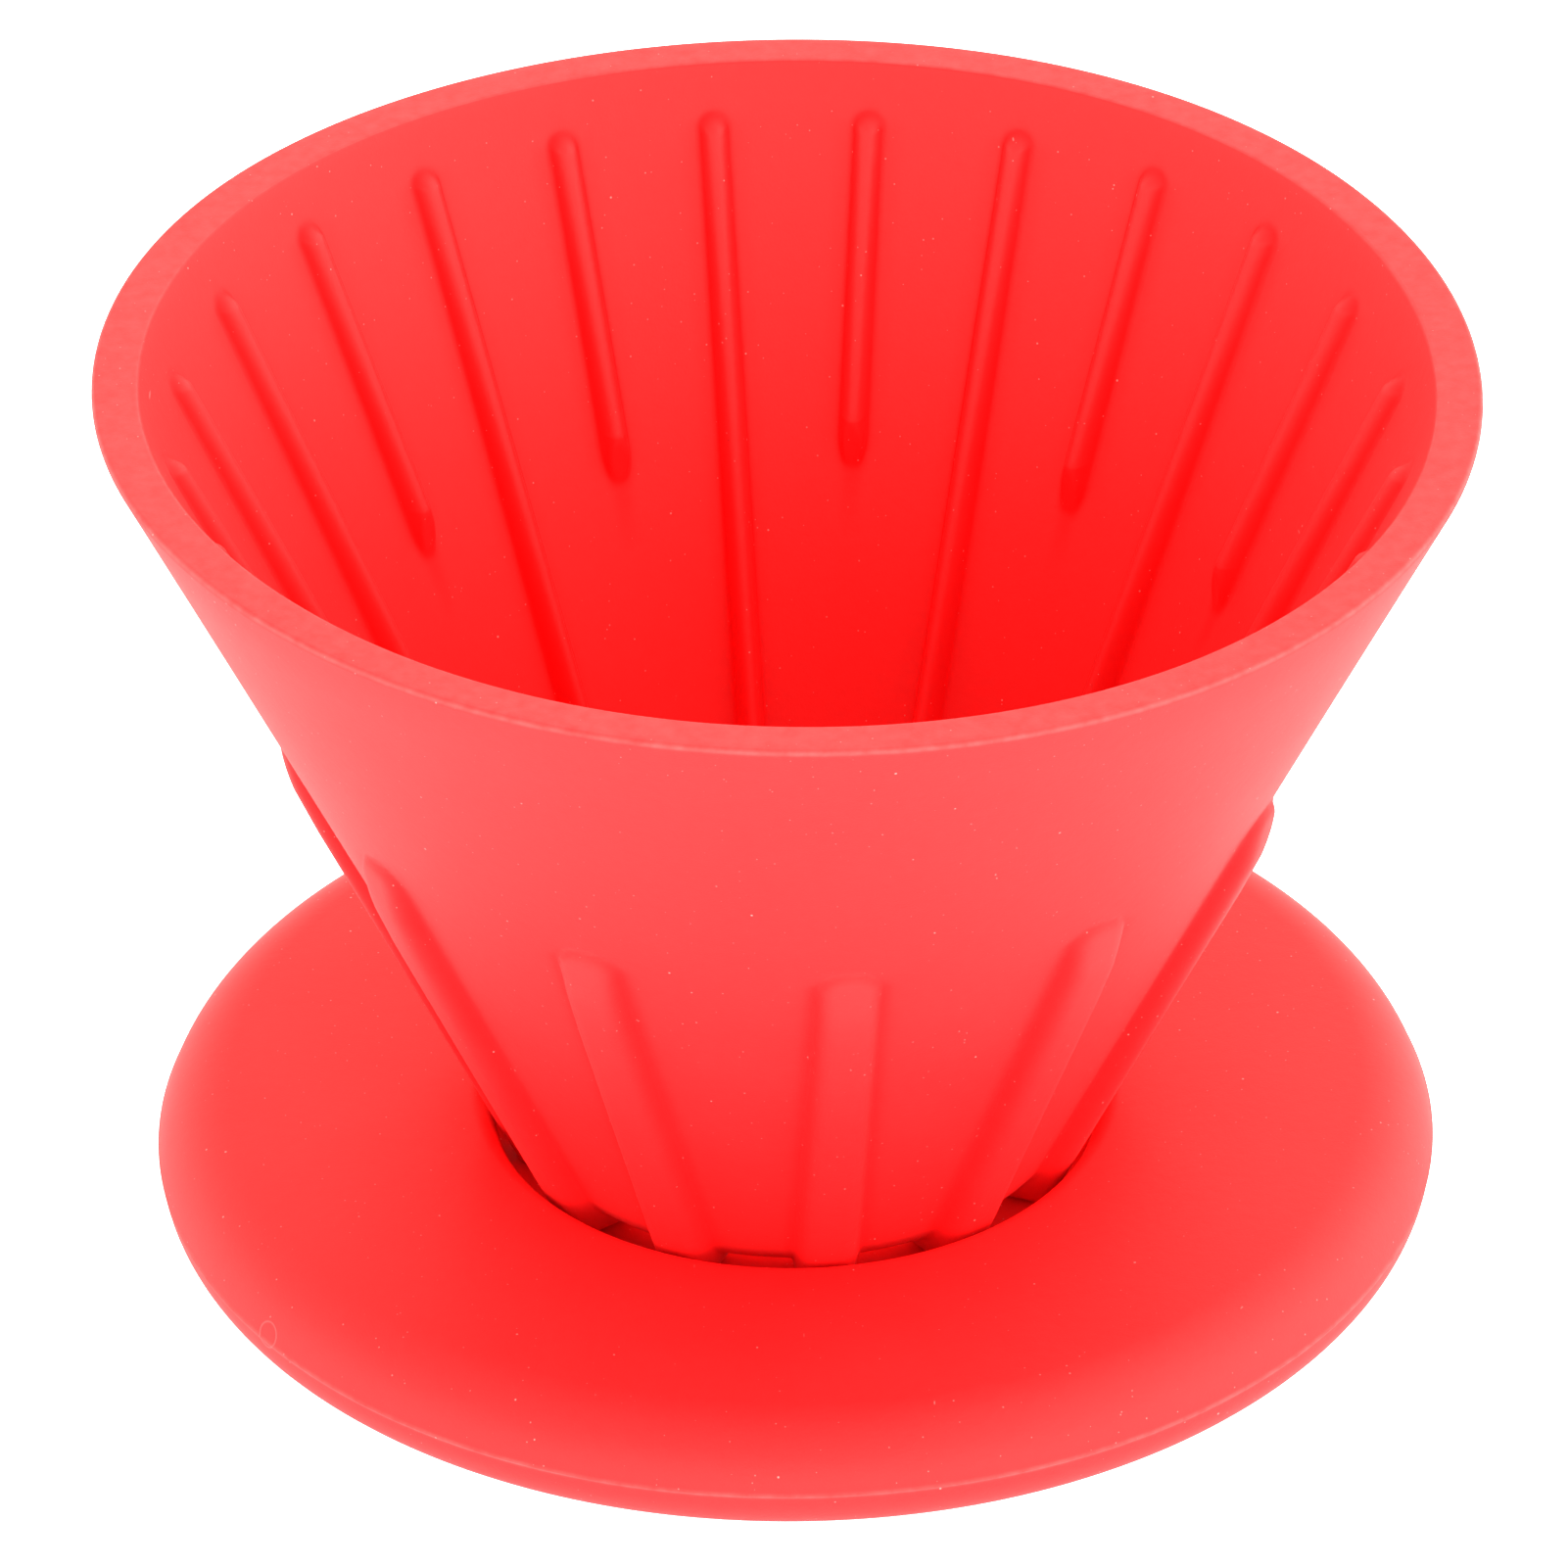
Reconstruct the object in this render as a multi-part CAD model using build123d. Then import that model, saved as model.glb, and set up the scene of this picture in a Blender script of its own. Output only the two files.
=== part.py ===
from build123d import *
from math import cos, radians, sin, tan
import os

# A pour-over coffee dripper in two mouldings of silicone rubber, in millimetres.
# The filter cup is an open cone with ribs inside and fins outside. It drops into the
# round hole of the base ring and stands on a ledge there, on the feet of its fins.
# The gaps between the fins and their feet let air out of the mug.
# Origin: centre of the base ring's underside. +Z is up, and the axis of both is Z.

# Filter cup: the cone
CUP_TOP = 80.4              # height of the rim above the surface the base stands on
RIM_RADIUS = 57.9
RIM_WALL = 4.1              # width of the flat rim, before its edges are rounded
OUTER_HALF_ANGLE = 25.3     # the outside leans more than the inside, so the wall thins downward
INNER_HALF_ANGLE = 24.3
RIM_EDGE = 0.4
CUP_BOTTOM = 5.5
FLOOR_TOP = 8.3
FLOOR_FALL = 0.8            # how far the floor drops towards the outlet
OUTER_TURN = 5.5            # radius where the outside turns under
INNER_TURN = 5.0            # radius where the inside meets the floor
OUTLET_RADIUS = 6.0

# Filter cup: ribs and fins, long and short ribs in turn, with a fin behind each long rib
LONG_RIBS = 12
PITCH = 360 / LONG_RIBS
FIRST_ANGLE = 6.2           # of the first long rib and the first fin, from +X
RIB_WIDTH = 2.7
RIB_TOP = CUP_TOP - 4.6
RIB_SHORT_END = CUP_TOP - 32.9
RIB_LEAD_IN = 1.2           # height in which a rib rises from the wall at its top
RIB_PROUD_TOP = 1.0         # measured level, in from the wall
RIB_PROUD_BOTTOM = 3.2
RIB_CREST_ROUND = 1.2
FLOOR_RIB_END = 9.0         # radius where a long rib ends on the floor
FLOOR_RIB_HEIGHT = 1.4
FIN_WIDTH = 5.0
FIN_PROUD = 2.1             # measured level, out from the wall
FIN_TOP = 49.5
FIN_FOOT = 4.0              # the feet reach below the cup, so that air passes under it
FIN_FOOT_IN = 18.6          # radius where a foot starts
FIN_EDGE_ROUND = 1.2
ROOT = 1.2                  # how deep ribs and fins reach into the wall

# Base ring
BASE_RADIUS = 54.5          # at the parting line, where the ring is widest
PARTING_HEIGHT = 4.9
CROWN_HEIGHT = 10.2         # highest circle of the domed top
CROWN_RADIUS = 41.0
BAND_LEAN = 17.5            # degrees that the band above the parting line leans in
SHOULDER_HEIGHT = 10.0      # where the band's line would meet the domed top
SHOULDER_ROUND = 6.6
LIP_HEIGHT = 8.8            # where the hole's wall would meet the domed top
LIP_ROUND = 2.4
HOLE_RADIUS = 25.7
LEDGE_TOP = FIN_FOOT        # the feet stand here, face to face
LEDGE_RADIUS = 18.0
RECESS_RADIUS = 36.0        # shallow recess below, inside the flat that rests on a mug
RECESS_HEIGHT = 2.0
RECESS_ROUND = 1.0


def outer_radius(z):
    """Radius of the cone's outside at height z."""
    return RIM_RADIUS - (CUP_TOP - z) * tan(radians(OUTER_HALF_ANGLE))


def inner_radius(z):
    """Radius of the cone's inside at height z."""
    return RIM_RADIUS - RIM_WALL - (CUP_TOP - z) * tan(radians(INNER_HALF_ANGLE))


def turned(face):
    """Solid of revolution about Z of a face in the XZ plane."""
    return revolve(face, Axis.Z)


def corner(face, radius, z):
    """The vertex of a face in the XZ plane at this radius and height."""
    return face.vertices().sort_by_distance((radius, 0, z))[0]


def profile(points):
    """Face in the XZ plane through (radius, height) points."""
    return make_face(Polyline(*[(r, 0, z) for r, z in points], close=True))


def cone_shell():
    """The cup without its ribs and fins."""
    floor_edge = inner_radius(FLOOR_TOP)
    bottom_edge = outer_radius(CUP_BOTTOM)
    face = profile([
        (OUTLET_RADIUS, CUP_BOTTOM),
        (bottom_edge, CUP_BOTTOM),
        (RIM_RADIUS, CUP_TOP),
        (RIM_RADIUS - RIM_WALL, CUP_TOP),
        (floor_edge, FLOOR_TOP),
        (OUTLET_RADIUS, FLOOR_TOP - FLOOR_FALL),
    ])
    rounds = [
        (bottom_edge, CUP_BOTTOM, OUTER_TURN),
        (floor_edge, FLOOR_TOP, INNER_TURN),
        (RIM_RADIUS, CUP_TOP, RIM_EDGE),
        (RIM_RADIUS - RIM_WALL, CUP_TOP, RIM_EDGE),
        (OUTLET_RADIUS, FLOOR_TOP - FLOOR_FALL, RIM_EDGE),
    ]
    for radius, z, size in rounds:
        face = fillet(corner(face, radius, z), size)
    return turned(face)


def blade(points, width, crest, round_size):
    """Blade standing on the XZ plane. The edges along the crest points are rounded."""
    body = extrude(profile(points), width / 2, dir=(0, 1, 0), both=True)
    middles = [((a[0] + b[0]) / 2, (a[1] + b[1]) / 2) for a, b in zip(crest, crest[1:])]
    edges = [
        body.edges().sort_by_distance((r, side * width / 2, z))[0]
        for r, z in middles for side in (-1, 1)
    ]
    return fillet(edges, round_size)


def rib_proud(z):
    """How far a rib stands in from the wall at height z. It grows prouder downward."""
    fall = (RIB_TOP - z) / (RIB_TOP - FLOOR_TOP)
    return RIB_PROUD_TOP + (RIB_PROUD_BOTTOM - RIB_PROUD_TOP) * fall


def rib_crest(z):
    """Radius of a rib's crest at height z."""
    return inner_radius(z) - rib_proud(z)


def short_rib():
    """Rib that ends part of the way down the cone, with an upright end face."""
    top, bottom = RIB_TOP, RIB_SHORT_END
    growth = (RIB_PROUD_BOTTOM - RIB_PROUD_TOP) / (RIB_TOP - FLOOR_TOP)
    upright = rib_proud(bottom) / (tan(radians(INNER_HALF_ANGLE)) + growth)
    crest = [(rib_crest(z), z) for z in (top - RIB_LEAD_IN, bottom + upright)]
    points = [(inner_radius(top) + ROOT, top), (inner_radius(top), top), *crest,
              (inner_radius(bottom), bottom), (inner_radius(bottom) + ROOT, bottom)]
    return blade(points, RIB_WIDTH, crest, RIB_CREST_ROUND)


def long_rib():
    """Rib that runs down the cone and along the floor towards the outlet."""
    bend = FLOOR_TOP + FLOOR_RIB_HEIGHT
    floor_end = FLOOR_TOP - FLOOR_FALL
    crest = [(rib_crest(RIB_TOP - RIB_LEAD_IN), RIB_TOP - RIB_LEAD_IN),
             (rib_crest(bend), bend),
             (FLOOR_RIB_END + FLOOR_RIB_HEIGHT, floor_end + FLOOR_RIB_HEIGHT)]
    under = FLOOR_TOP - ROOT
    points = [(inner_radius(RIB_TOP) + ROOT, RIB_TOP), (inner_radius(RIB_TOP), RIB_TOP), *crest,
              (FLOOR_RIB_END, floor_end), (FLOOR_RIB_END, under), (inner_radius(under), under)]
    return blade(points, RIB_WIDTH, crest, RIB_CREST_ROUND)


def fin():
    """Outer fin. Its top edge is upright, its long edge follows the cone, its foot is flat."""
    tip = outer_radius(FIN_TOP)
    full = FIN_TOP - FIN_PROUD / tan(radians(OUTER_HALF_ANGLE))
    crest = [(tip, FIN_TOP), (tip, full), (outer_radius(FIN_FOOT) + FIN_PROUD, FIN_FOOT)]
    root = CUP_BOTTOM + ROOT
    above_floor = FLOOR_TOP + ROOT
    points = [(tip - ROOT, FIN_TOP), *crest, (FIN_FOOT_IN, FIN_FOOT), (FIN_FOOT_IN, root),
              (outer_radius(above_floor) - ROOT, above_floor)]
    return blade(points, FIN_WIDTH, crest, FIN_EDGE_ROUND)


def around(shape, first):
    """Copies of a shape about Z, one per long rib."""
    return [Rot(Z=first + PITCH * turn) * shape for turn in range(LONG_RIBS)]


def filter_cup():
    """The whole cup, one moulding."""
    added = around(long_rib(), FIRST_ANGLE)
    added += around(short_rib(), FIRST_ANGLE + PITCH / 2)
    added += around(fin(), FIRST_ANGLE)
    return cone_shell() + added


def base_ring():
    """The domed ring, with its hole, ledge and underside recess."""
    band_in = (SHOULDER_HEIGHT - PARTING_HEIGHT) * tan(radians(BAND_LEAN))
    shoulder = (BASE_RADIUS - band_in, SHOULDER_HEIGHT)
    lip = (HOLE_RADIUS, LIP_HEIGHT)
    under = BASE_RADIUS - PARTING_HEIGHT
    turn = (under + PARTING_HEIGHT * cos(radians(45)), PARTING_HEIGHT * (1 - sin(radians(45))))
    lines = [
        Polyline((under, 0, 0), (RECESS_RADIUS, 0, 0), (RECESS_RADIUS, 0, RECESS_HEIGHT),
                 (LEDGE_RADIUS, 0, RECESS_HEIGHT), (LEDGE_RADIUS, 0, LEDGE_TOP),
                 (HOLE_RADIUS, 0, LEDGE_TOP), (lip[0], 0, lip[1])),
        ThreePointArc((lip[0], 0, lip[1]), (CROWN_RADIUS, 0, CROWN_HEIGHT),
                      (shoulder[0], 0, shoulder[1])),
        Line((shoulder[0], 0, shoulder[1]), (BASE_RADIUS, 0, PARTING_HEIGHT)),
        ThreePointArc((BASE_RADIUS, 0, PARTING_HEIGHT), (turn[0], 0, turn[1]), (under, 0, 0)),
    ]
    face = make_face(lines)
    rounds = [
        (*shoulder, SHOULDER_ROUND),
        (*lip, LIP_ROUND),
        (RECESS_RADIUS, 0, RECESS_ROUND),
    ]
    for radius, z, size in rounds:
        face = fillet(corner(face, radius, z), size)
    return turned(face)


os.makedirs("parts", exist_ok=True)
for name, shape in {"filter_cup": filter_cup(), "base_ring": base_ring()}.items():
    shape.label = name
    export_step(shape, f"parts/{name}.step")
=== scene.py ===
import math

import bpy
import numpy as np
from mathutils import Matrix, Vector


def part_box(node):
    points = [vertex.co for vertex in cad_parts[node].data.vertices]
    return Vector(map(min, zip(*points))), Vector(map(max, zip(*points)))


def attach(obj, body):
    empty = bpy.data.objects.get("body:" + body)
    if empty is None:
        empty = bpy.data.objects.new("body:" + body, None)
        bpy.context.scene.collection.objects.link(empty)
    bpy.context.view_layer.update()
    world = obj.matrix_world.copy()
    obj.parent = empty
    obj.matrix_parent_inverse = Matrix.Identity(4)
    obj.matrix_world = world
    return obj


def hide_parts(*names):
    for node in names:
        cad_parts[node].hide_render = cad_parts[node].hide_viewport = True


# A pour-over dripper: a silicone cone cup with inner ribs and outer fins, standing in a
# domed silicone ring. Both pieces are lathed grids whose ribs and fins are raised from
# the wall by formulas, so that every edge and root is softly rounded, as a moulding's is.
# Lengths here are in millimetres until a mesh is made.

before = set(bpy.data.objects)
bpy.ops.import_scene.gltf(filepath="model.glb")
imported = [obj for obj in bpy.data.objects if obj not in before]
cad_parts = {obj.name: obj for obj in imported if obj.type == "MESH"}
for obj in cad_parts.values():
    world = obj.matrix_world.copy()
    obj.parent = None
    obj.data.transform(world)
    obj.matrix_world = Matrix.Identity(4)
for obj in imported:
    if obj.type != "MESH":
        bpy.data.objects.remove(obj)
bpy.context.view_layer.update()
MM = 0.001


def frame_sizes(node):
    """(lowest z, highest z, largest radius) of a CAD node, in millimetres."""
    low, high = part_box(node)
    return low[2] / MM, high[2] / MM, (high[0] - low[0]) / 2 / MM


FIN_FOOT, CUP_BOX_TOP, CUP_MAX_RADIUS = frame_sizes("filter_cup")
_, RING_TOP, RING_RADIUS = frame_sizes("base_ring")

# Cup: the cone and its floor
OUTER_LEAN = math.tan(math.radians(25.3))
RIM_SINK = 0.65                         # the rim waves up and down, and its mean is this far down
CUP_TOP = CUP_BOX_TOP - RIM_SINK
EDGE_LOSS = 0.2                         # what the rim's rounded edge takes off its radius
RIM_RADIUS = CUP_MAX_RADIUS + EDGE_LOSS - RIM_SINK * OUTER_LEAN
RIM_WALL = 4.1
RIM_EDGE = 0.45
INNER_LEAN = math.tan(math.radians(24.3))
OUTER_TURN = 5.5
INNER_TURN = 5.0
CUP_BOTTOM = FIN_FOOT + 1.5             # the fins' feet stand lower than the cup
FLOOR_TOP = CUP_BOTTOM + 2.8
FLOOR_FALL = 0.8
OUTLET_RADIUS = 6.0
OUTLET_EDGE = 0.6
# The soft cup sits a little askew and its rim has sprung out of true. Each wave is how many
# times it goes round the rim, its height, and the angle of its first crest in degrees.
RIM_OVAL = (2, 0.56, -27)               # outward
RIM_CORNERS = (3, 0.18, -49)            # outward
CUP_TILT = (1, 0.55, 176)               # upward
RIM_SADDLE = (2, 0.32, 19)              # upward
RIM_RIPPLE = (3, 0.15, 46)              # upward
RIM_SHIFT = 0.1                         # of the whole rim, along +X
RIM_CAP_ROUND = 0.2
RIM_TOP_PAINTED_LIGHT = 0.25                         # painted light on the rim's flat top, against 1 for the painted highlight at its outer edge

# Cup: ribs and fins, measured along the wall from their middle line
SECTORS = 12
HALF_SECTOR = math.pi / SECTORS
FIRST_ANGLE = math.radians(6.2)
RIB_TOP = CUP_BOX_TOP - 4.6
RIB_SHORT_END = CUP_BOX_TOP - 32.9
RIB_HALF = 1.27
RIB_SQUARE = 2.5                        # 2 is an arched bead, and more has a flatter crest
RIB_ROOT = 0.4
RIB_END_TAPER = 3.2
ROOT_SLOPE = 1.4
END_SHADE = 0.9                         # painted shade on the end face of a short rib
ROOT_SHADE = 0.3                        # width of the painted-shade strip at a root, against its half width
RIB_TURN = math.radians(0.65)           # the ribs aren't quite in line with the fins
RIB_PROUD_TOP = 1.3
RIB_PROUD_BOTTOM = 3.2
FLOOR_RIB_HEIGHT = 1.4
FLOOR_RIB_END = 9.0
FIN_HALF = 2.7
FIN_SQUARE = 4.5
FIN_ROOT = 0.7
FIN_PROUD = 2.1
FIN_TOP = 49.5
FIN_HEAD_DEPTH = 0.5                    # share of the depth below which the head narrows
FIN_SOFT = 2.2
FIN_FOOT_SOFT = 0.7
FIN_FOOT_IN = 18.6

# Ring
PARTING_HEIGHT = 4.9
CROWN_HEIGHT = RING_TOP
CROWN_RADIUS = 41.0
BAND_LEAN = math.tan(math.radians(17.5))
SHOULDER_HEIGHT = 10.0
SHOULDER_ROUND = 6.6
LIP_HEIGHT = 8.8
LIP_ROUND = 2.4
HOLE_RADIUS = 25.7
LEDGE_TOP = FIN_FOOT
LEDGE_RADIUS = 18.0
RECESS_RADIUS = 36.0
RECESS_HEIGHT = 2.0
SMALL_ROUND = 0.4
RIDGE_PROUD = 0.08                      # the thread of rubber that the mould's parting leaves
RIDGE_HALF = 0.09
# Two small circles that the mould left on the ring's edge: angle in degrees, height and radius
MOULD_MARKS = ((-144.9, 5.6, 1.15), (-28.5, 9.0, 0.7))
MARK_LINE = 0.12                        # width of each circle's line


# ---- profiles: lists of (radius, height) with a spacing that follows the detail ----

def straight(start, end, count, bias=1.0):
    """Points from start up to, not including, end. A bias over 1 crowds them at the start."""
    steps = (np.arange(count) / count) ** bias
    start, end = np.array(start, float), np.array(end, float)
    return start + steps[:, None] * (end - start)


def rounded(before, corner, after, radius, count):
    """Arc that rounds a corner, with both its ends, and the two tangent points."""
    before, corner, after = (np.array(p, float) for p in (before, corner, after))
    to_before = (before - corner) / np.linalg.norm(before - corner)
    to_after = (after - corner) / np.linalg.norm(after - corner)
    half = math.acos(float(to_before @ to_after)) / 2
    bisector = (to_before + to_after) / np.linalg.norm(to_before + to_after)
    centre = corner + bisector * radius / math.sin(half)
    first = corner + to_before * radius / math.tan(half)
    last = corner + to_after * radius / math.tan(half)
    turn = math.pi - 2 * half
    weights = np.linspace(0, 1, count)
    a, b = first - centre, last - centre
    return np.array([
        centre + (math.sin((1 - w) * turn) * a + math.sin(w * turn) * b) / math.sin(turn)
        for w in weights
    ])


def bridge(before, after, count):
    """Points between two runs of points, leaving one and meeting the other in line."""
    start, end = before[-1], after[0]
    reach = np.linspace(0, 1, count + 2)[1:-1, None]
    span = np.linalg.norm(end - start)
    leave = (before[-1] - before[-2]) / np.linalg.norm(before[-1] - before[-2]) * span
    meet = (after[1] - after[0]) / np.linalg.norm(after[1] - after[0]) * span
    return (start * (1 + 2 * reach) * (1 - reach) ** 2 + end * reach ** 2 * (3 - 2 * reach)
            + leave * reach * (1 - reach) ** 2 - meet * reach ** 2 * (1 - reach))


def outer_radius(z):
    return RIM_RADIUS - (CUP_TOP - z) * OUTER_LEAN


def inner_radius(z):
    return RIM_RADIUS - RIM_WALL - (CUP_TOP - z) * INNER_LEAN


def soft_min(a, b, size):
    """The smaller of a and b, with a round of about this size where they cross."""
    mix = np.clip(0.5 + 0.5 * (b - a) / size, 0, 1)
    return b + (a - b) * mix - size * mix * (1 - mix)


def soft_max(a, b, size):
    return -soft_min(-a, -b, size)


# ---- meshes ----

def closed_mesh(name, grid, shades):
    """Object from a grid of points, rows around the profile and columns around Z, closed both ways.

    Shades names values from 0 to 1 at each point, which the material reads.
    """
    rows, columns, _ = grid.shape
    index = np.arange(rows * columns).reshape(rows, columns)
    below, aside = np.roll(index, -1, axis=0), np.roll(index, -1, axis=1)
    across = np.roll(below, -1, axis=1)
    faces = np.stack([index, aside, across, below], axis=-1).reshape(-1, 4)
    mesh = bpy.data.meshes.new(name)
    mesh.from_pydata((grid.reshape(-1, 3) * MM).tolist(), [], faces.tolist())
    mesh.validate()
    mesh.polygons.foreach_set("use_smooth", [True] * len(mesh.polygons))
    mesh.update()
    for shade, values in shades.items():
        layer = mesh.attributes.new(shade, "FLOAT", "POINT")
        layer.data.foreach_set("value", values.ravel().astype(np.float32))
    piece = bpy.data.objects.new(name, mesh)
    bpy.context.scene.collection.objects.link(piece)
    return piece


def wave(angles, count, height, crest):
    """Wave round Z: how many times round, its height, and where it first crests, in degrees."""
    return height * np.cos(count * (angles - math.radians(crest)))


def turned(radius, height, angle):
    """Points at these radii, heights and angles, arrays of one shape."""
    return np.stack([radius * np.cos(angle), radius * np.sin(angle), height], axis=-1)


# ---- the filter cup ----

def fin_crest(points):
    """Where a fin's edge is, level with these points of the wall."""
    z = points[:, 1]
    edge = soft_min(outer_radius(z) + FIN_PROUD, outer_radius(FIN_TOP), FIN_SOFT)
    return np.stack([np.maximum(edge, points[:, 0]), z], axis=1)


def foot_crest(count, end):
    """A foot's outline: down its inner side, along its sole, round its toe and up to end."""
    heel = (FIN_FOOT_IN, FIN_FOOT)
    toe = (outer_radius(FIN_FOOT) + FIN_PROUD, FIN_FOOT)
    heel_turn = rounded((FIN_FOOT_IN, CUP_BOTTOM), heel, toe, FIN_FOOT_SOFT / 2, 4)
    toe_turn = rounded(heel, toe, end, FIN_FOOT_SOFT, 7)
    rest = count - len(heel_turn) - len(toe_turn)
    sole = straight(heel_turn[-1], toe_turn[0], rest // 2 + 1)[1:]
    rise = straight(toe_turn[-1], end, rest - rest // 2 + 1)[1:]
    return np.concatenate([heel_turn, sole, toe_turn, rise])


def cup_profile():
    """Rows of the cup's closed profile, where a fin's edge is on each, and each row's side.

    It runs up the outside, over the rim, down the inside and back through the outlet.
    Side is 0 outside, 1 inside, and in between across the rim and the outlet.
    """
    floor_edge = (inner_radius(FLOOR_TOP), FLOOR_TOP)
    floor_in = (OUTLET_RADIUS, FLOOR_TOP - FLOOR_FALL)
    under_edge = (outer_radius(CUP_BOTTOM), CUP_BOTTOM)
    under_in = (OUTLET_RADIUS, CUP_BOTTOM)
    rim_out, rim_in = (RIM_RADIUS, CUP_TOP), (RIM_RADIUS - RIM_WALL, CUP_TOP)
    outlet_under = rounded(floor_in, under_in, under_edge, OUTLET_EDGE, 5)
    turn_under = rounded(under_in, under_edge, rim_out, OUTER_TURN, 22)
    rim_edge_out = rounded(under_edge, rim_out, rim_in, RIM_EDGE, 7)
    rim_edge_in = rounded(rim_out, rim_in, floor_edge, RIM_EDGE, 7)
    turn_floor = rounded(rim_in, floor_edge, floor_in, INNER_TURN, 12)
    outlet_top = rounded(floor_edge, floor_in, under_in, OUTLET_EDGE, 5)
    full = FIN_TOP - FIN_PROUD / OUTER_LEAN
    rib_full_end = rib_corner_height()

    def outside(start, end, count):
        """Rows up the outside between two heights."""
        return straight((outer_radius(start), start), (outer_radius(end), end), count)

    def inside(start, end, count):
        """Rows down the inside between two heights."""
        return straight((inner_radius(start), start), (inner_radius(end), end), count)

    first, last = turn_under[-1][1], rim_edge_out[0][1]
    foot_rows = np.concatenate([straight((FIN_FOOT_IN, CUP_BOTTOM), turn_under[0], 3), turn_under])
    foot_end = fin_crest(turn_under[-1:])[0]
    plain_parts = [
        (outlet_under, 0.3),
        (straight(outlet_under[-1], foot_rows[0], 5)[1:], 0),
        (foot_rows, 0),
        (outside(first, full - 2, 8)[1:], 0),
        (outside(full - 2, full + 2, 8), 0),
        (outside(full + 2, FIN_TOP - 1.5, 3), 0),
        (outside(FIN_TOP - 1.5, FIN_TOP + 1.5, 8), 0),
        (outside(FIN_TOP + 1.5, last, 5), 0),
        (rim_edge_out, 0),
        (straight(rim_edge_out[-1], rim_edge_in[0], 5)[1:], None),
        (rim_edge_in, 1),
        (inside(rim_edge_in[-1][1], RIB_TOP + 0.4, 3)[1:], 1),
        (inside(RIB_TOP + 0.4, RIB_TOP - 2.6, 14), 1),
        (inside(RIB_TOP - 2.6, rib_full_end + 1, 6), 1),
        (inside(rib_full_end + 1, rib_full_end - 0.8, 7), 1),
        (inside(rib_full_end - 0.8, RIB_SHORT_END - 0.6, 13), 1),
        (inside(RIB_SHORT_END - 0.6, turn_floor[0][1], 7), 1),
        (turn_floor, 1),
        (straight(turn_floor[-1], outlet_top[0], 12)[1:], 1),
        (outlet_top, 0.7),
    ]
    rows, sides, crests = [], [], []
    for points, side in plain_parts:
        across = np.linspace(0, 1, len(points) + 2)[1:-1]
        sides.extend(across if side is None else [side] * len(points))
        rows.extend(points)
        if points is foot_rows:
            crests.extend(foot_crest(len(points), foot_end))
        elif side == 0 and points[-1][1] > first and points[-1][1] < last:
            crests.extend(fin_crest(points))
        else:
            crests.extend(points)
    return np.array(rows), np.array(crests), np.array(sides)


def rib_proud(z):
    """How far a rib's crest stands in from the wall at height z, measured level."""
    fall = (RIB_TOP - z) / (RIB_TOP - FLOOR_TOP)
    return RIB_PROUD_TOP + (RIB_PROUD_BOTTOM - RIB_PROUD_TOP) * fall


def rib_corner_height():
    """Height where a short rib's crest turns straight down, to meet the wall at its end."""
    slope = (RIB_PROUD_BOTTOM - RIB_PROUD_TOP) / (RIB_TOP - FLOOR_TOP)
    return RIB_SHORT_END + rib_proud(RIB_SHORT_END) / (INNER_LEAN + slope)


def cup_angles(radii, sides):
    """Angle of every grid point from its sector's long rib, crowded where ribs and fins bend."""
    rib = np.array([0, .3, .55, .75, .91, 1.04, 1.15, 1.26, 1.37, 1.51, 1.75])
    fin = np.array([0, .9, 1.3, 1.6, 1.82, 2.0, 2.17, 2.32, 2.46, 2.6, 2.75, 2.95, 3.3])
    half_columns = 26
    squeeze = np.minimum(1, 0.2 * radii / (2 * rib[-1]))[:, None]
    rib_angle = rib * squeeze / radii[:, None]
    gap = half_columns + 1 - 2 * len(rib)
    weights = (np.arange(gap) + 1) / (gap + 1)
    start, end = rib_angle[:, -1:], HALF_SECTOR - rib_angle[:, -1:]
    between = start + weights * (end - start)
    inner = np.hstack([rib_angle, between, HALF_SECTOR - rib_angle[:, ::-1]])
    fin_angle = fin * np.minimum(1, 0.15 * radii / fin[-1])[:, None] / radii[:, None]
    rest = half_columns + 1 - len(fin)
    weights = (np.arange(rest) + 1) / rest
    start = fin_angle[:, -1:]
    outer = np.hstack([fin_angle, start + weights * (HALF_SECTOR - start)])
    half = outer + sides[:, None] * (inner - outer)
    return np.hstack([half, 2 * HALF_SECTOR - half[:, -2:0:-1]])


def bead(depth, away, half, square, root):
    """Height of a rounded bead of this depth, this far from its middle line.

    Its foot runs out into the wall in a fillet whose size is root, or the depth if less.
    """
    section = 1 - np.clip(away / half, 0, 1) ** square
    beyond = np.maximum(away - half, 0)
    return soft_max(depth * section - ROOT_SLOPE * beyond, 0, np.clip(depth, 0.001, root))


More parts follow.
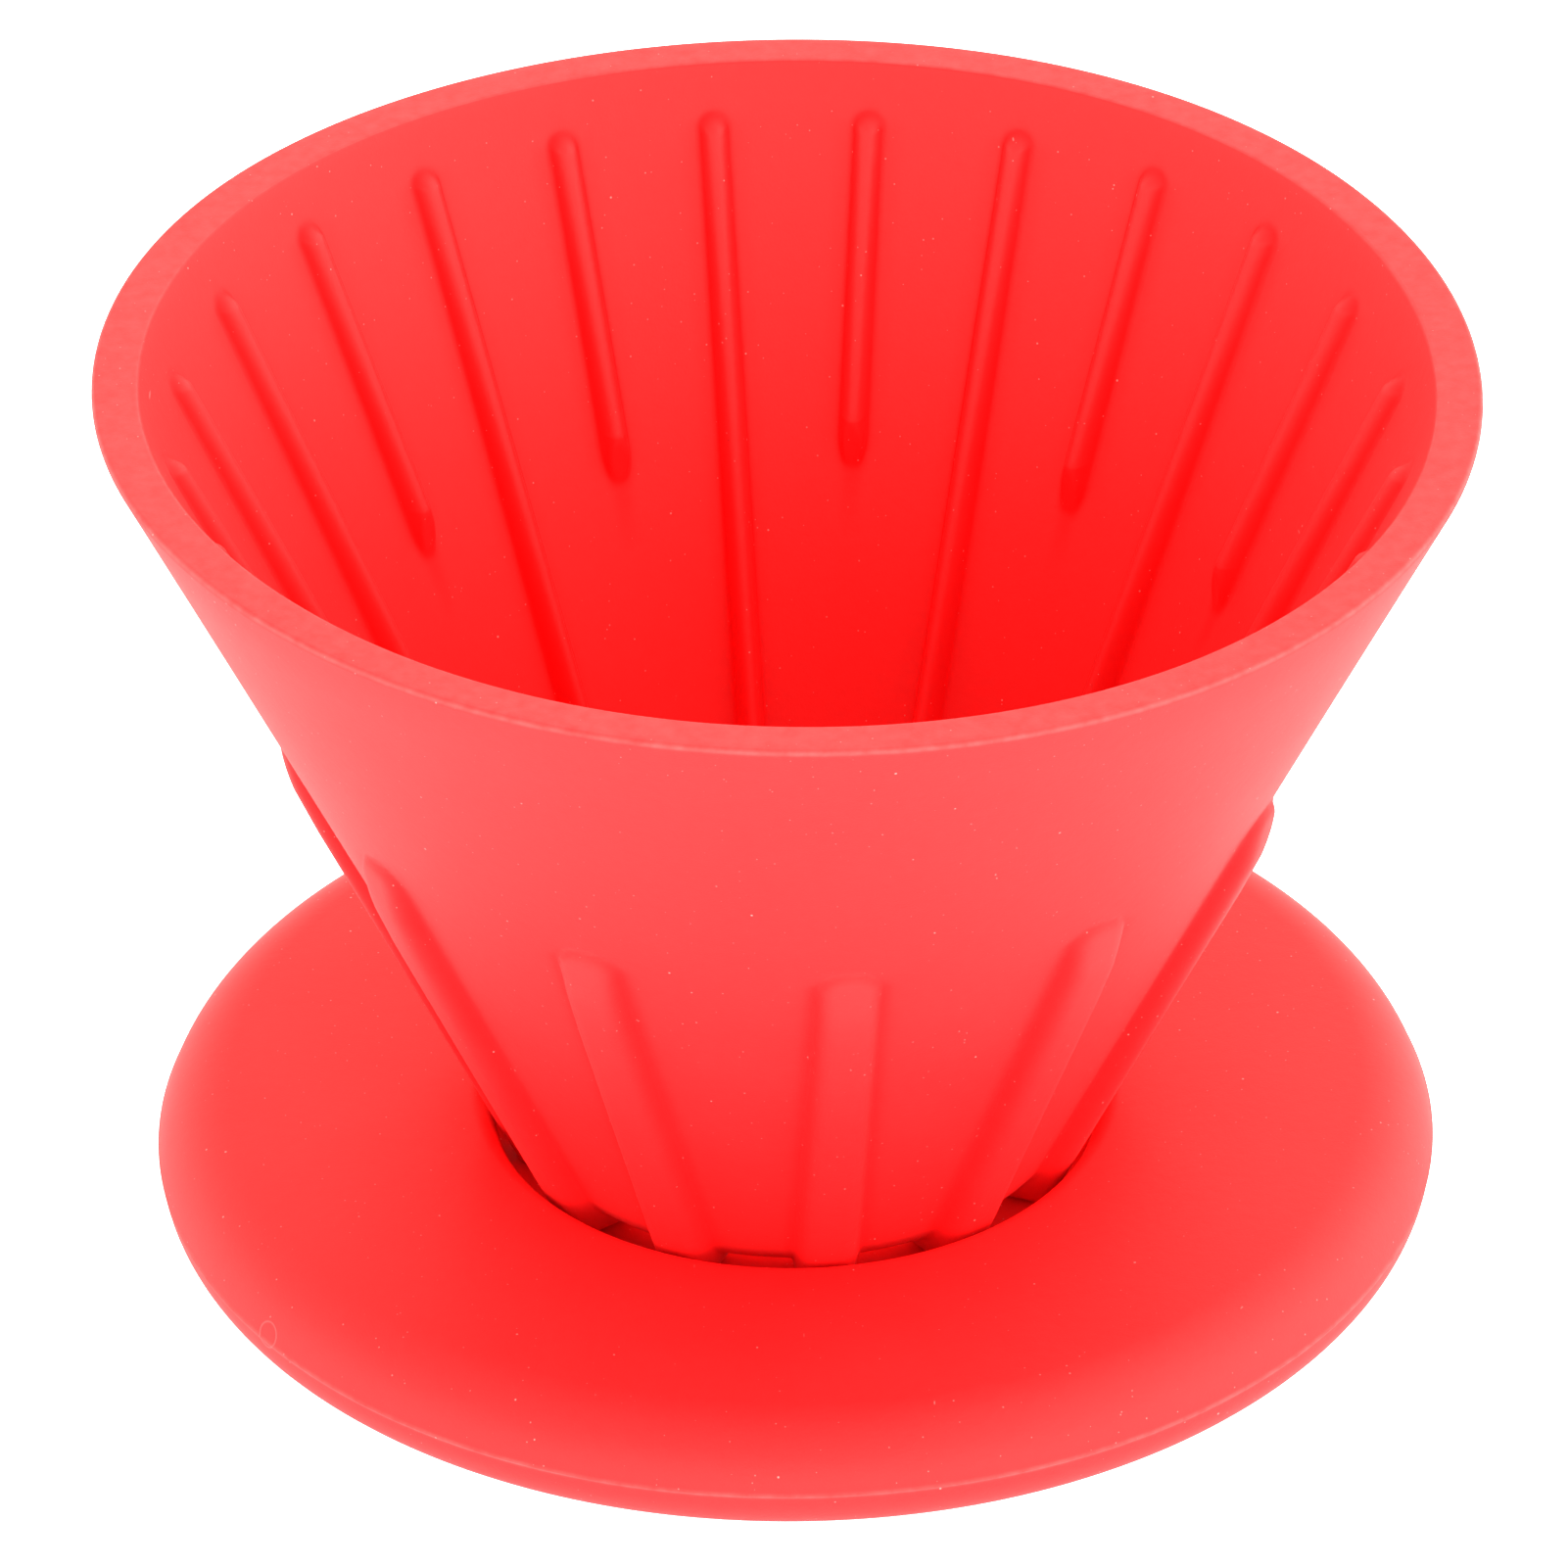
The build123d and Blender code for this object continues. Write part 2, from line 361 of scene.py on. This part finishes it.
def filter_cup():
    rows, crests, sides = cup_profile()
    radii, heights = rows[:, :1], rows[:, 1:]
    outward = crests - rows
    fin_depth = np.linalg.norm(outward, axis=1, keepdims=True)
    outward = outward / np.maximum(fin_depth, 1e-6)
    sector = cup_angles(rows[:, 0], sides)
    from_long = np.minimum(sector, 2 * HALF_SECTOR - sector)
    across_long = from_long * radii
    across_short = (HALF_SECTOR - from_long) * radii

    on_wall = 1 / math.cos(math.atan(INNER_LEAN))
    past_top = np.maximum(heights - (RIB_TOP - RIB_HALF), 0) * on_wall
    past_end = np.maximum(RIB_SHORT_END + RIB_END_TAPER - heights, 0) * RIB_HALF / RIB_END_TAPER
    depth = rib_proud(heights)
    corner = rib_corner_height()
    upright = inner_radius(heights) - (inner_radius(corner) - rib_proud(corner))
    away_short = np.hypot(across_short, np.hypot(past_top, past_end))
    short = bead(depth, away_short, RIB_HALF, RIB_SQUARE, RIB_ROOT)
    short = np.maximum(soft_min(short, upright, 0.3), 0)
    turned_in = np.clip((FLOOR_TOP + INNER_TURN - heights) / INNER_TURN, 0, 1)
    depth = depth + (FLOOR_RIB_HEIGHT - depth) * turned_in ** 2
    past_floor_end = np.maximum(FLOOR_RIB_END + RIB_HALF - radii, 0)
    away_long = np.hypot(across_long, np.hypot(past_top, past_floor_end))
    long = bead(depth, away_long, RIB_HALF, RIB_SQUARE, RIB_ROOT)
    inside = (sides[:, None] == 1)
    rib = np.where(inside, np.maximum(long, short), 0)
    past_head = np.maximum(heights - (FIN_TOP - FIN_HALF), 0)
    narrowing = np.sqrt(np.clip(fin_depth / (FIN_HEAD_DEPTH * FIN_PROUD), 0.05, 1))
    away_fin = np.hypot(across_long, past_head) / narrowing
    fin = bead(fin_depth, away_fin, FIN_HALF, FIN_SQUARE, FIN_ROOT)
    fin = np.where(fin_depth > 0, fin, 0)

    lean = turned_in * math.pi / 2
    new_radii = radii + fin * outward[:, :1] - rib * np.cos(lean)
    new_heights = heights + fin * outward[:, 1:] + rib * np.sin(lean)
    starts = FIRST_ANGLE + 2 * HALF_SECTOR * np.arange(SECTORS)
    angles = np.concatenate([start + sector for start in starts], axis=1)
    angles = angles + RIB_TURN * sides[:, None]
    new_radii, new_heights = np.tile(new_radii, SECTORS), np.tile(new_heights, SECTORS)
    rise = np.clip(new_heights / CUP_TOP, 0, 1)
    out_of_round = wave(angles, *RIM_OVAL) + wave(angles, *RIM_CORNERS)
    new_radii = new_radii + rise ** 2 * out_of_round + rise * RIM_SHIFT * np.cos(angles)
    out_of_flat = wave(angles, *RIM_SADDLE) + wave(angles, *RIM_RIPPLE)
    lift = rise * wave(angles, *CUP_TILT) + rise ** 2 * out_of_flat
    new_heights = new_heights + soft_min(lift, RIM_SINK, RIM_CAP_ROUND)
    # Painted highlight: a lighter line along the rim's outer edge, and a fainter lightening of the
    # rim's flat top
    edge = np.hypot(rows[:, 0] - RIM_RADIUS, rows[:, 1] - CUP_TOP)
    worn = np.maximum(np.exp(-(edge / RIM_EDGE) ** 4), RIM_TOP_PAINTED_LIGHT * (rows[:, 1] > CUP_TOP - 0.1))
    # Painted shade: a strip along the roots of ribs and fins, and the end faces of short ribs,
    # where the material lowers gloss
    beside_rib = np.minimum(away_long, away_short) / RIB_HALF - 1
    beside_fin = away_fin / FIN_HALF - 1
    root = np.where(inside, np.exp(-(beside_rib / ROOT_SHADE) ** 2),
                    np.exp(-(beside_fin / ROOT_SHADE) ** 2) * np.clip(fin_depth, 0, 1))
    end_face = inside & (upright < depth) & (away_short < RIB_HALF)
    root = np.maximum(root, END_SHADE * end_face)
    grid = turned(new_radii, new_heights, angles)
    worn = np.repeat(worn[:, None], grid.shape[1], axis=1)
    return closed_mesh("silicone_cup", grid, {"worn": worn, "sheltered": np.tile(root, SECTORS)})


# ---- the base ring ----

def ring_profile():
    """Rows of the ring's closed profile, from the underside out, over the top and down the hole."""
    widest = RING_RADIUS - 0.02
    band_top = (widest - (SHOULDER_HEIGHT - PARTING_HEIGHT) * BAND_LEAN, SHOULDER_HEIGHT)
    crown = (CROWN_RADIUS, CROWN_HEIGHT)
    lip = (HOLE_RADIUS, LIP_HEIGHT)
    under = widest - PARTING_HEIGHT
    turn = np.radians(np.linspace(-90, 0, 18)[:-1])
    under_turn = np.stack([under + PARTING_HEIGHT * np.cos(turn),
                           PARTING_HEIGHT * (1 + np.sin(turn))], axis=1)
    off = np.array([-3, -1.7, -1, -0.5, 0, 0.5, 1, 1.7, 3]) * RIDGE_HALF
    lean_in = np.maximum(off, 0) * BAND_LEAN
    ridge = np.stack([widest - lean_in + RIDGE_PROUD * np.exp(-(off / RIDGE_HALF) ** 2),
                      PARTING_HEIGHT + off], axis=1)
    parting = (widest, PARTING_HEIGHT)
    shoulder = rounded(parting, band_top, crown, SHOULDER_ROUND, 24)
    lip_turn = rounded(crown, lip, (HOLE_RADIUS, LEDGE_TOP), LIP_ROUND, 16)
    dome = bridge(shoulder[-2:], lip_turn[:2], 26)
    ledge_out, ledge_in = (HOLE_RADIUS, LEDGE_TOP), (LEDGE_RADIUS, LEDGE_TOP)
    low_in, low_out = (LEDGE_RADIUS, RECESS_HEIGHT), (RECESS_RADIUS, RECESS_HEIGHT)
    foot_in = (RECESS_RADIUS, 0)
    out_turn = rounded(lip_turn[-1], ledge_out, ledge_in, SMALL_ROUND, 4)
    in_turn = rounded(ledge_out, ledge_in, low_in, SMALL_ROUND, 4)
    low_turn = rounded(ledge_in, low_in, low_out, SMALL_ROUND, 4)
    recess_turn = rounded(low_in, low_out, foot_in, SMALL_ROUND * 2, 5)
    foot_turn = rounded(low_out, foot_in, (under, 0), SMALL_ROUND, 5)
    parts = [
        under_turn, ridge, straight(ridge[-1], shoulder[0], 3)[1:],
        shoulder, dome, lip_turn,
        straight(lip_turn[-1], out_turn[0], 3)[1:], out_turn,
        straight(out_turn[-1], in_turn[0], 3)[1:], in_turn, low_turn,
        straight(low_turn[-1], recess_turn[0], 5)[1:], recess_turn, foot_turn,
        straight(foot_turn[-1], under_turn[0], 6)[1:],
    ]
    return np.concatenate(parts)


def base_ring():
    rows = ring_profile()
    angles = np.linspace(0, 2 * math.pi, 720, endpoint=False)[None, :]
    radii = np.repeat(rows[:, :1], angles.shape[1], axis=1)
    heights = np.repeat(rows[:, 1:], angles.shape[1], axis=1)
    # Painted highlight: a lighter line along the parting ridge
    edge = np.hypot(rows[:, 0] - RING_RADIUS, rows[:, 1] - PARTING_HEIGHT)
    worn = 0.5 * np.exp(-(edge / (2 * RIDGE_HALF)) ** 2)
    grid = turned(radii, heights, np.repeat(angles, len(rows), axis=0))
    worn = np.repeat(worn[:, None], grid.shape[1], axis=1)
    return closed_mesh("silicone_ring", grid, {"worn": worn})


# ---- materials ----

RED_DEEP = (0.87, 0.0040, 0.0062, 1)
RED_PALE = (0.89, 0.0082, 0.0105, 1)
FILM_COLOUR = (0.9, 0.16, 0.16, 1)
# Lighter colour for painted highlights on edges and the rim top, and for the mould marks' circles
HIGHLIGHT_AND_MARK_COLOUR = (0.92, 0.17, 0.17, 1)
DUST_COLOUR = (0.9, 0.42, 0.40, 1)
FINE_DUST_COLOUR = (0.9, 0.30, 0.29, 1)
LINT_COLOUR = (0.9, 0.35, 0.34, 1)
GRIT_COLOUR = (0.20, 0.002, 0.002, 1)
SPECK_SHARPNESS = 60.0
GRAIN_DEPTH = 0.00004                    # metres
SILICONE_IOR = 1.41
GLOSS = 0.5
PAINTED_SHADE_GLOSS_LOSS = 0.3                    # of gloss, lowered as painted shade at the foot of a rib or fin and on a short rib's end face


def node(tree, kind, **sockets):
    """New shader node. Its sockets and settings go by name, and a pair (node, output) is linked."""
    made = tree.nodes.new(kind)
    for name, value in sockets.items():
        socket = made.inputs.get(name.replace("_", " "))
        if socket is None:
            setattr(made, name, value)
        elif isinstance(value, tuple) and isinstance(value[0], bpy.types.Node):
            tree.links.new(value[0].outputs[value[1]], socket)
        else:
            socket.default_value = value
    return made


def math_node(tree, operation, *values):
    """Math node's output. A value is a number or another node's output."""
    made = tree.nodes.new("ShaderNodeMath")
    made.operation = operation
    for socket, value in zip(made.inputs, values):
        if isinstance(value, bpy.types.NodeSocket):
            tree.links.new(value, socket)
        else:
            socket.default_value = value
    return made.outputs[0]


def blend(tree, share, first, second):
    """Colour that goes from first to second as share goes from 0 to 1."""
    mix = tree.nodes.new("ShaderNodeMix")
    mix.data_type = "RGBA"
    for socket, value in zip((mix.inputs[0], mix.inputs[6], mix.inputs[7]), (share, first, second)):
        if isinstance(value, bpy.types.NodeSocket):
            tree.links.new(value, socket)
        else:
            socket.default_value = value
    return mix.outputs[2]


def specks(tree, where, scale, stretch, turn, least, swell):
    """Mask of scattered specks, in the cells whose random value is over least."""
    spread = node(tree, "ShaderNodeMapping", Vector=where, Scale=stretch, Rotation=turn)
    cells = node(tree, "ShaderNodeTexVoronoi", Vector=(spread, "Vector"), Scale=scale)
    chance = node(tree, "ShaderNodeSeparateColor", Color=(cells, "Color"))
    over = math_node(tree, "MAXIMUM", math_node(tree, "SUBTRACT", chance.outputs[0], least), 0.0)
    radius = math_node(tree, "MULTIPLY", over, swell)
    inside = math_node(tree, "SUBTRACT", radius, cells.outputs["Distance"])
    sharp = math_node(tree, "MULTIPLY", inside, SPECK_SHARPNESS)
    return math_node(tree, "MINIMUM", math_node(tree, "MAXIMUM", sharp, 0.0), 1.0)


def ring_mark(tree, where, angle, height, radius):
    """Mask of a thin circle on the ring's edge, about the place at this angle and height."""
    turn = math.radians(angle)
    place = (RING_RADIUS * MM * math.cos(turn), RING_RADIUS * MM * math.sin(turn), height * MM)
    gap = node(tree, "ShaderNodeVectorMath", operation="DISTANCE")
    tree.links.new(where, gap.inputs[0])
    gap.inputs[1].default_value = place
    off_line = math_node(tree, "SUBTRACT", gap.outputs["Value"], radius * MM)
    off_line = math_node(tree, "ABSOLUTE", off_line)
    fade = math_node(tree, "MULTIPLY", off_line, 1 / (MARK_LINE * MM))
    line = math_node(tree, "SUBTRACT", 1.0, fade)
    return math_node(tree, "MAXIMUM", line, 0.0)


def silicone(name, seed, marks=(), has_painted_shade=False):
    """Matte red silicone: fine grain, faint mottling, painted highlights on edges and the rim top,
    and specks of dust and lint.

    With the flag set, the mesh gives painted shade at the roots of ribs and fins and on the end
    faces of short ribs, and gloss is lowered there as painted shade.
    """
    material = bpy.data.materials.new(name)
    material.use_nodes = True
    tree = material.node_tree
    tree.nodes.clear()
    place = node(tree, "ShaderNodeTexCoord")
    moved = node(tree, "ShaderNodeMapping", Vector=(place, "Object"),
                 Location=(seed, seed / 3, -seed))
    where = (moved, "Vector")
    cloud = node(tree, "ShaderNodeTexNoise", Vector=where, Scale=55.0, Detail=4.0, Roughness=0.6)
    mottle = node(tree, "ShaderNodeTexNoise", Vector=where, Scale=900.0, Detail=3.0)
    grain = node(tree, "ShaderNodeTexNoise", Vector=where, Scale=5200.0, Detail=2.0)
    colour = blend(tree, cloud.outputs["Fac"], RED_DEEP, RED_PALE)
    film = math_node(tree, "MULTIPLY", mottle.outputs["Fac"], grain.outputs["Fac"])
    colour = blend(tree, math_node(tree, "MULTIPLY", film, 0.035), colour, FILM_COLOUR)
    # Painted highlight: lighter colour where the mesh marks the rim's edge and top and the ring's
    # parting ridge
    worn = node(tree, "ShaderNodeAttribute", attribute_name="worn")
    highlight_share = math_node(tree, "MULTIPLY", worn.outputs["Fac"], mottle.outputs["Fac"])
    colour = blend(tree, highlight_share, colour, HIGHLIGHT_AND_MARK_COLOUR)
    dust = specks(tree, where, 600.0, (1, 1, 1), (0, 0, 0), 0.5, 0.15)
    fine_dust = specks(tree, where, 1400.0, (1, 1, 1), (0.4, 0, 0.8), 0.45, 0.22)
    lint = specks(tree, where, 560.0, (1, 0.12, 1), (0.5, 0.2, 0.9), 0.45, 0.10)
    colour = blend(tree, math_node(tree, "MULTIPLY", dust, 0.5), colour, DUST_COLOUR)
    colour = blend(tree, math_node(tree, "MULTIPLY", fine_dust, 0.4), colour, FINE_DUST_COLOUR)
    colour = blend(tree, math_node(tree, "MULTIPLY", lint, 0.35), colour, LINT_COLOUR)
    grit = specks(tree, where, 260.0, (1, 1, 1), (1.1, 0.3, 0), 0.86, 0.22)
    colour = blend(tree, math_node(tree, "MULTIPLY", grit, 0.6), colour, GRIT_COLOUR)
    swell = math_node(tree, "MULTIPLY", mottle.outputs["Fac"], 1.5)
    height = math_node(tree, "ADD", grain.outputs["Fac"], swell)
    height = math_node(tree, "ADD", height, math_node(tree, "MULTIPLY", dust, 1.5))
    for mark in marks:
        circle = ring_mark(tree, place.outputs["Object"], *mark)
        colour = blend(tree, math_node(tree, "MULTIPLY", circle, 0.35), colour, HIGHLIGHT_AND_MARK_COLOUR)
        height = math_node(tree, "ADD", height, math_node(tree, "MULTIPLY", circle, 3.0))
    bump = tree.nodes.new("ShaderNodeBump")
    bump.inputs["Strength"].default_value = 0.35
    bump.inputs["Distance"].default_value = GRAIN_DEPTH
    tree.links.new(height, bump.inputs["Height"])
    matte = math_node(tree, "ADD", math_node(tree, "MULTIPLY", cloud.outputs["Fac"], 0.1), 0.55)
    shader = node(tree, "ShaderNodeBsdfPrincipled", Normal=(bump, "Normal"))
    shader.inputs["Specular IOR Level"].default_value = GLOSS
    # Painted shade: gloss is lowered at the roots of ribs and fins and on short ribs' end faces
    if has_painted_shade:
        sheltered = node(tree, "ShaderNodeAttribute", attribute_name="sheltered")
        loss = math_node(tree, "MULTIPLY", sheltered.outputs["Fac"], PAINTED_SHADE_GLOSS_LOSS)
        gloss = math_node(tree, "SUBTRACT", GLOSS, loss)
        tree.links.new(gloss, shader.inputs["Specular IOR Level"])
    tree.links.new(colour, shader.inputs["Base Color"])
    tree.links.new(matte, shader.inputs["Roughness"])
    shader.inputs["IOR"].default_value = SILICONE_IOR
    output = node(tree, "ShaderNodeOutputMaterial")
    tree.links.new(shader.outputs[0], output.inputs[0])
    return material


def studio_white(name, value, glow):
    material = bpy.data.materials.new(name)
    material.use_nodes = True
    shader = material.node_tree.nodes["Principled BSDF"]
    shader.inputs["Base Color"].default_value = (value, value, value, 1)
    shader.inputs["Roughness"].default_value = 0.7
    shader.inputs["Emission Color"].default_value = (1, 1, 1, 1)
    shader.inputs["Emission Strength"].default_value = glow
    return material


# ---- the scene ----

cup = filter_cup()
cup.data.materials.append(silicone("cup_silicone", 0.3, has_painted_shade=True))
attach(cup, "cup")
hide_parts("filter_cup")

ring = base_ring()
ring.data.materials.append(silicone("ring_silicone", 0.7, MOULD_MARKS))
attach(ring, "base")
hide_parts("base_ring")

FLOOR_HALF = 3.0
FLOOR_LEVEL = -0.0001                            # a hair below the ring's flat face
floor_mesh = bpy.data.meshes.new("floor")
corners = [(-FLOOR_HALF, -FLOOR_HALF, FLOOR_LEVEL), (FLOOR_HALF, -FLOOR_HALF, FLOOR_LEVEL),
           (FLOOR_HALF, FLOOR_HALF, FLOOR_LEVEL), (-FLOOR_HALF, FLOOR_HALF, FLOOR_LEVEL)]
floor_mesh.from_pydata(corners, [], [(0, 1, 2, 3)])
floor = bpy.data.objects.new("floor", floor_mesh)
bpy.context.scene.collection.objects.link(floor)
floor.data.materials.append(studio_white("floor_white", 0.55, 1.47))

# Soft light from all round: on each side a low bank of light, and what is above it
CEILING = 1.7
DOME_SIDES = {                                   # side: (bank, above it)
    ("Y", -1): (4.6, 0.2),                       # the camera's side is dark above the bank
    ("X", 1): (5.0, 3.0),
    ("Y", 1): (1.8, 1.8),
    ("X", -1): (3.5, 1.0),
}
BANK_TOP, ABOVE_START, ABOVE_END = 0.3, 0.6, 0.85    # heights of a direction one unit long
DOME_TINT = (1.0, 1.0, 0.92, 1)
DOME_UNIT = 6.0                                  # strength of a white stop


def studio_dome():
    world = bpy.data.worlds.new("studio")
    bpy.context.scene.world = world
    world.use_nodes = True
    tree = world.node_tree
    direction = tree.nodes.new("ShaderNodeSeparateXYZ")
    tree.links.new(tree.nodes.new("ShaderNodeTexCoord").outputs["Generated"], direction.inputs[0])
    x, y, z = (direction.outputs[axis] for axis in "XYZ")
    across, along = (math_node(tree, "MULTIPLY", part, part) for part in (x, y))
    level = math_node(tree, "MAXIMUM", math_node(tree, "ADD", across, along), 1e-6)
    total = 0.0
    for (axis, sign), (bank, above) in DOME_SIDES.items():
        steps = ((0.0, bank), (BANK_TOP, bank), (ABOVE_START, above), (ABOVE_END, above),
                 (1.0, CEILING))
        toward = math_node(tree, "MULTIPLY", direction.outputs[axis], float(sign))
        toward = math_node(tree, "MAXIMUM", toward, 0.0)
        share = math_node(tree, "DIVIDE", math_node(tree, "MULTIPLY", toward, toward), level)
        ramp = tree.nodes.new("ShaderNodeValToRGB")
        tree.links.new(z, ramp.inputs[0])
        stops = ramp.color_ramp.elements
        while len(stops) < len(steps):
            stops.new(0.5)
        for stop, (step, strength) in zip(stops, steps):
            stop.position = step
            grey = strength / DOME_UNIT
            stop.color = (grey, grey, grey, 1)
        total = math_node(tree, "ADD", total, math_node(tree, "MULTIPLY", share, ramp.outputs[0]))
    background = tree.nodes["Background"]
    background.inputs["Color"].default_value = DOME_TINT
    tree.links.new(math_node(tree, "MULTIPLY", total, DOME_UNIT), background.inputs["Strength"])


studio_dome()

# Camera: a long lens, 33 degrees above the table
FRAME_SIZE = 1601
FOCAL_PIXELS = 14953
CAMERA_PLACE = (0.0, -1.0373, 0.7108)
CAMERA_TILT = math.radians(32.90)
CAMERA_PAN = math.radians(-0.036)
CAMERA_ROLL = math.radians(0.65)
camera_data = bpy.data.cameras.new("camera")
camera = bpy.data.objects.new("camera", camera_data)
bpy.context.scene.collection.objects.link(camera)
camera_data.sensor_width = 36.0
camera_data.lens = camera_data.sensor_width * FOCAL_PIXELS / FRAME_SIZE
camera.location = CAMERA_PLACE
aim = Matrix.Rotation(math.pi / 2 - CAMERA_TILT, 4, "X")
spin = Matrix.Rotation(-CAMERA_PAN, 4, "Z") @ aim @ Matrix.Rotation(-CAMERA_ROLL, 4, "Z")
camera.rotation_euler = spin.to_euler()
bpy.context.scene.camera = camera
bpy.context.scene.view_settings.view_transform = "Standard"
